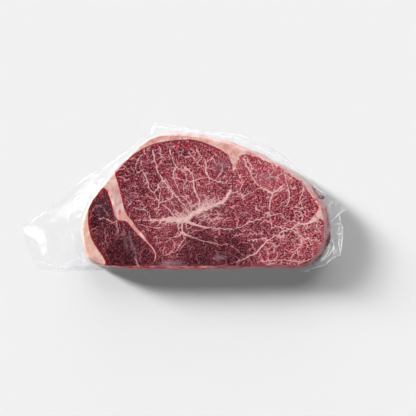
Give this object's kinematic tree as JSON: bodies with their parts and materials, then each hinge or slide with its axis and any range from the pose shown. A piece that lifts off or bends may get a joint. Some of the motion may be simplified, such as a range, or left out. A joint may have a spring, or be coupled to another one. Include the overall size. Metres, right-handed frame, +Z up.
{
  "type": "raw beef steak",
  "caption": "Thick raw beef steak with dense marbling, a fat seam and a rim of fat, sealed tight in clear vacuum film whose pressed border stands out all round its side.",
  "frame": {"origin": "on the surface the steak lies on, under the middle of the bag's box", "axes": "+X along the steak towards its tail, +Y across it away from the straight cut edge, +Z up out of the cut face"},
  "size_m": [0.2621, 0.1222, 0.0244],
  "materials": {
    "beef": "moist marbled raw meat, satin under the film",
    "film": "clear glossy film with fine creases"
  },
  "bodies": {
    "root": {"steak": "beef", "vacuum_bag": "film"}
  },
  "joints": []
}
